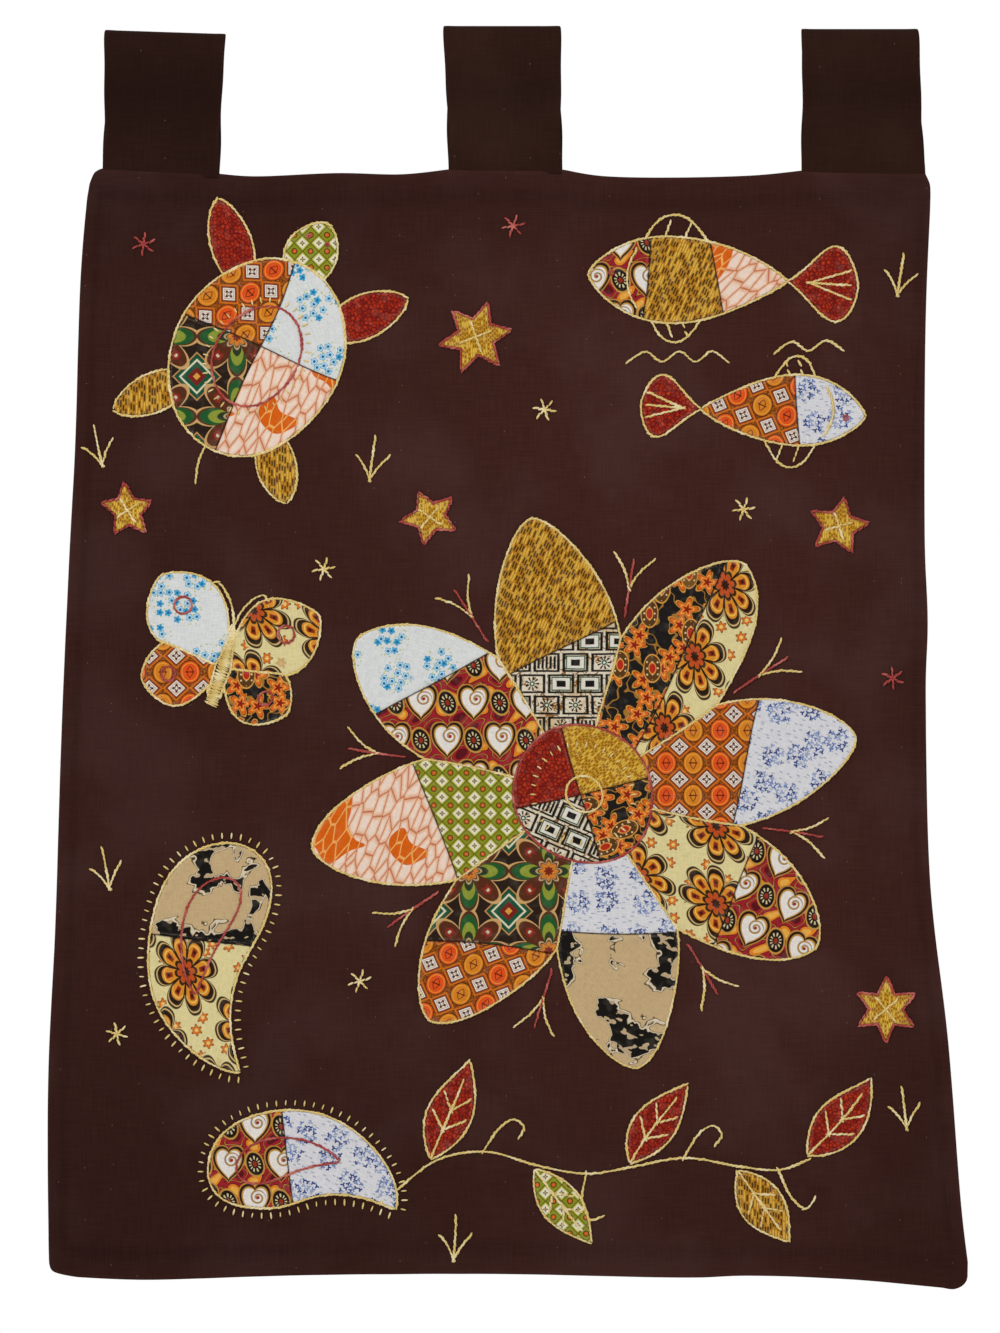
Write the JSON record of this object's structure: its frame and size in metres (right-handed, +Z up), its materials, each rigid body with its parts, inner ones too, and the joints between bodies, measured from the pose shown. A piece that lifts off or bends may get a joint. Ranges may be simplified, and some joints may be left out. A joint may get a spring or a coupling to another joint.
{
  "type": "applique wall hanging",
  "caption": "Tall dark cloth hanging with three tab loops at its top edge and patchwork motifs sewn to its face.",
  "frame": {"origin": "midway along the line where a hanging rod bears inside the middle tab loop, in the plane of the cloth", "axes": "+Z up the cloth, +X to the viewer's right of its face, -Y out of its decorated face"},
  "size_m": [0.736, 0.0246, 1.0096],
  "materials": {
    "ground": "dark brown cotton in a plain weave, soft and matt",
    "diamonds": "rust cotton printed with white diamonds",
    "sprigs": "white cotton printed with small blue sprigs",
    "ochre": "ochre cotton printed with short dark dashes",
    "lotus": "cream cotton printed with orange petals",
    "scrolls": "dull red cotton printed with pale scrolls",
    "wheel": "dark green cotton printed with wheels",
    "script": "pale grey cotton printed with dark bars and rings",
    "blotch": "tan cotton printed with dark blotches",
    "veins": "peach cotton printed with salmon veins",
    "vine": "black cotton printed with an orange vine",
    "floret": "pale blue cotton printed with blue florets",
    "garnet": "plain dark red cotton, slightly mottled",
    "lime": "lime cotton printed with small diamonds",
    "honey": "gold cotton with small dashes"
  },
  "bodies": {
    "root": {"ground_cloth": "ground", "tab_left": "ground", "tab_middle": "ground", "tab_right": "ground", "petal_1_1": "diamonds", "petal_1_2": "sprigs", "petal_2_1": "vine", "petal_2_2": "lotus", "petal_3_1": "script", "petal_3_2": "ochre", "petal_4_1": "scrolls", "petal_4_2": "floret", "petal_5_1": "lime", "petal_5_2": "veins", "petal_6_1": "wheel", "petal_6_2": "diamonds", "petal_7_1": "sprigs", "petal_7_2": "blotch", "petal_8_1": "lotus", "petal_8_2": "scrolls", "hub_1": "garnet", "hub_2": "script", "hub_3": "honey", "hub_4": "vine", "tortoise_shell_1": "wheel", "tortoise_shell_2": "veins", "tortoise_shell_3": "diamonds", "tortoise_shell_4": "floret", "tortoise_head": "lime", "tortoise_leg_1": "garnet", "tortoise_leg_2": "garnet", "tortoise_leg_3": "ochre", "tortoise_leg_4": "ochre", "fish_upper_1": "scrolls", "fish_upper_2": "ochre", "fish_upper_3": "veins", "fish_upper_tail": "garnet", "fish_lower_1": "sprigs", "fish_lower_2": "diamonds", "fish_lower_tail": "garnet", "paisley_left_1": "blotch", "paisley_left_2": "lotus", "paisley_low_1": "scrolls", "paisley_low_2": "sprigs", "leaf_1": "garnet", "leaf_2": "lime", "leaf_3": "garnet", "leaf_4": "ochre", "leaf_5": "garnet", "butterfly_wing_1": "floret", "butterfly_wing_2": "lotus", "butterfly_wing_3": "diamonds", "butterfly_wing_4": "vine", "star_1": "honey", "star_2": "honey", "star_3": "honey", "star_4": "honey", "star_5": "honey"}
  },
  "joints": []
}
